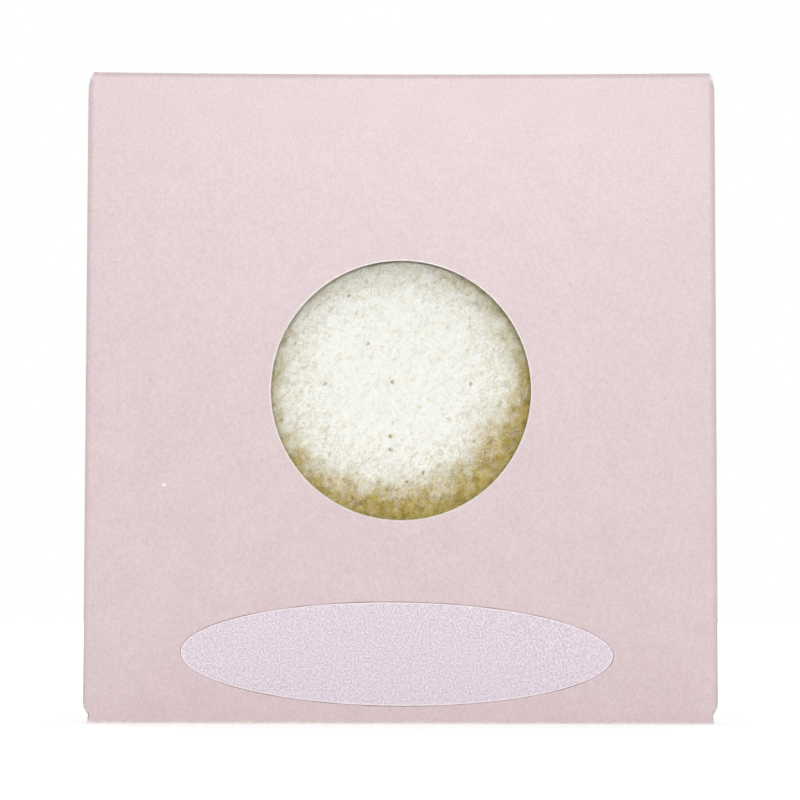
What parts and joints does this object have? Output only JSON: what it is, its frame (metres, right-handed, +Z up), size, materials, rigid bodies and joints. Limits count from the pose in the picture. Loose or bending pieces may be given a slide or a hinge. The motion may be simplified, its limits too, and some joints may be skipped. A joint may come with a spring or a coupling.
{
  "type": "boxed konjac sponge",
  "caption": "Half-ball konjac face sponge in a folded board carton with a round window, an oval sticker and tuck-in lids that open at both ends.",
  "frame": {"origin": "middle of the base, on the surface that the carton stands on", "axes": "+X to the right seen from the front, the window faces -Y, +Z up"},
  "size_m": [0.085, 0.0421, 0.088],
  "materials": {
    "printed_board": "satin",
    "sticker_paper": "matte",
    "sponge": "matte"
  },
  "bodies": {
    "carton": {"front_panel": "printed_board", "back_panel": "printed_board", "left_panel": "printed_board", "right_panel": "printed_board", "glue_flap": "printed_board", "oval_sticker": "sticker_paper"},
    "top_lid": {"top_lid": "printed_board"},
    "top_tuck_flap": {"top_tuck_flap": "printed_board"},
    "top_dust_flap_left": {"top_dust_flap_left": "printed_board"},
    "top_dust_flap_right": {"top_dust_flap_right": "printed_board"},
    "bottom_lid": {"bottom_lid": "printed_board"},
    "bottom_tuck_flap": {"bottom_tuck_flap": "printed_board"},
    "bottom_dust_flap_left": {"bottom_dust_flap_left": "printed_board"},
    "bottom_dust_flap_right": {"bottom_dust_flap_right": "printed_board"},
    "sponge": {"konjac_sponge": "sponge"}
  },
  "joints": [
    {"name": "top_lid_fold", "type": "hinge", "parent": "carton", "child": "top_lid", "pos_m": [0, -0.021, 0.088], "axis": [1, 0, 0], "range_deg": [0, 225]},
    {"name": "top_tuck_fold", "type": "hinge", "parent": "top_lid", "child": "top_tuck_flap", "pos_m": [0, 0.01855, 0.0872], "axis": [1, 0, 0], "range_deg": [-45, 0]},
    {"name": "top_dust_left_fold", "type": "hinge", "parent": "carton", "child": "top_dust_flap_left", "pos_m": [-0.0425, 0, 0.0869], "axis": [0, -1, 0], "range_deg": [0, 180]},
    {"name": "top_dust_right_fold", "type": "hinge", "parent": "carton", "child": "top_dust_flap_right", "pos_m": [0.0425, 0, 0.0869], "axis": [0, 1, 0], "range_deg": [0, 180]},
    {"name": "sponge_lift", "type": "slide", "parent": "carton", "child": "sponge", "axis": [0, 0, 1], "range_m": [0, 0.09425]},
    {"name": "bottom_lid_fold", "type": "hinge", "parent": "carton", "child": "bottom_lid", "pos_m": [0, 0.021, 0], "axis": [1, 0, 0], "range_deg": [0, 225]},
    {"name": "bottom_tuck_fold", "type": "hinge", "parent": "bottom_lid", "child": "bottom_tuck_flap", "pos_m": [0, -0.01855, 0.0008], "axis": [1, 0, 0], "range_deg": [-45, 0]},
    {"name": "bottom_dust_left_fold", "type": "hinge", "parent": "carton", "child": "bottom_dust_flap_left", "pos_m": [-0.0425, 0, 0.0011], "axis": [0, 1, 0], "range_deg": [0, 180]},
    {"name": "bottom_dust_right_fold", "type": "hinge", "parent": "carton", "child": "bottom_dust_flap_right", "pos_m": [0.0425, 0, 0.0011], "axis": [0, -1, 0], "range_deg": [0, 180]}
  ],
  "couplings": [
    {"joint": "top_lid_fold", "follows": "sponge_lift", "rad_per_m": 41.66},
    {"joint": "top_tuck_fold", "follows": "sponge_lift", "rad_per_m": -8.332},
    {"joint": "top_dust_left_fold", "follows": "sponge_lift", "rad_per_m": 33.328},
    {"joint": "top_dust_right_fold", "follows": "sponge_lift", "rad_per_m": 33.328},
    {"joint": "bottom_tuck_fold", "follows": "bottom_lid_fold", "ratio": -0.2},
    {"joint": "bottom_dust_left_fold", "follows": "bottom_lid_fold", "ratio": 0.8},
    {"joint": "bottom_dust_right_fold", "follows": "bottom_lid_fold", "ratio": 0.8}
  ]
}
